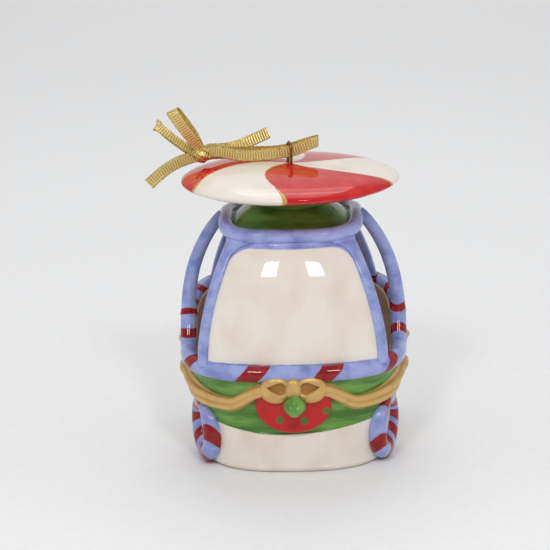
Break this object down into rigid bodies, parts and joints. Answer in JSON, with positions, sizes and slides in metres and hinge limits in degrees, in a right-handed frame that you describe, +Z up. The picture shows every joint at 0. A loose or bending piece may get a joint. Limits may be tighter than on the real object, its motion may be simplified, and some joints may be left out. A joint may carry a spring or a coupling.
{
  "type": "christmas bell ornament",
  "caption": "Painted ceramic bell ornament shaped as a small open cabin with a peppermint disc roof, gold garland relief, hanging ribbon and an inner clapper.",
  "frame": {"origin": "centre of the bell's foot, on the surface that it stands on", "axes": "+Z up, front with the wreath towards -Y, +X to the viewer's right"},
  "size_m": [0.0767, 0.0719, 0.1019],
  "materials": {
    "cream_glaze": "gloss",
    "green_glaze": "gloss",
    "bead_glaze": "gloss",
    "brown_glaze": "gloss",
    "candy_glaze": "gloss",
    "blue_glaze": "gloss",
    "peppermint_glaze": "gloss",
    "red_glaze": "gloss",
    "gold_paint": "satin",
    "clapper_glaze": "gloss",
    "gold_wire": "polished",
    "steel_wire": "polished",
    "lame_ribbon": "metallic weave"
  },
  "bodies": {
    "bell": {"bell_skirt": "cream_glaze", "green_sash": "green_glaze", "cabin_lining": "brown_glaze", "candy_belt": "candy_glaze", "candy_rim": "candy_glaze", "front_panel": "cream_glaze", "rear_panel": "cream_glaze", "front_left_pillar": "blue_glaze", "front_right_pillar": "blue_glaze", "rear_left_pillar": "blue_glaze", "rear_right_pillar": "blue_glaze", "left_arch": "blue_glaze", "right_arch": "blue_glaze", "roof_rim": "blue_glaze", "roof_panel": "green_glaze", "disc_neck": "green_glaze", "peppermint_disc": "peppermint_glaze", "eye_pin": "gold_wire", "left_garland": "gold_paint", "right_garland": "gold_paint", "rear_left_garland": "gold_paint", "rear_right_garland": "gold_paint", "wreath": "red_glaze", "wreath_bow": "gold_paint", "wreath_knob": "bead_glaze", "front_left_candy_ring": "candy_glaze", "front_right_candy_ring": "candy_glaze", "rear_left_candy_ring": "candy_glaze", "rear_right_candy_ring": "candy_glaze", "clapper_staple": "steel_wire", "ribbon_loop": "lame_ribbon", "ribbon_bow_a": "lame_ribbon", "ribbon_bow_b": "lame_ribbon", "ribbon_tail_a": "lame_ribbon", "ribbon_tail_b": "lame_ribbon", "ribbon_knot": "lame_ribbon"},
    "clapper_link": {"clapper_link": "steel_wire"},
    "clapper": {"clapper_wire": "steel_wire", "clapper_bead": "clapper_glaze"}
  },
  "joints": [
    {"name": "clapper_nod", "type": "hinge", "parent": "bell", "child": "clapper_link", "pos_m": [0, 0, 0.0673], "axis": [1, 0, 0], "range_deg": [-11, 11]},
    {"name": "clapper_swing", "type": "hinge", "parent": "clapper_link", "child": "clapper", "pos_m": [0, 0, 0.06415], "axis": [0, 1, 0], "range_deg": [-19, 19]}
  ]
}
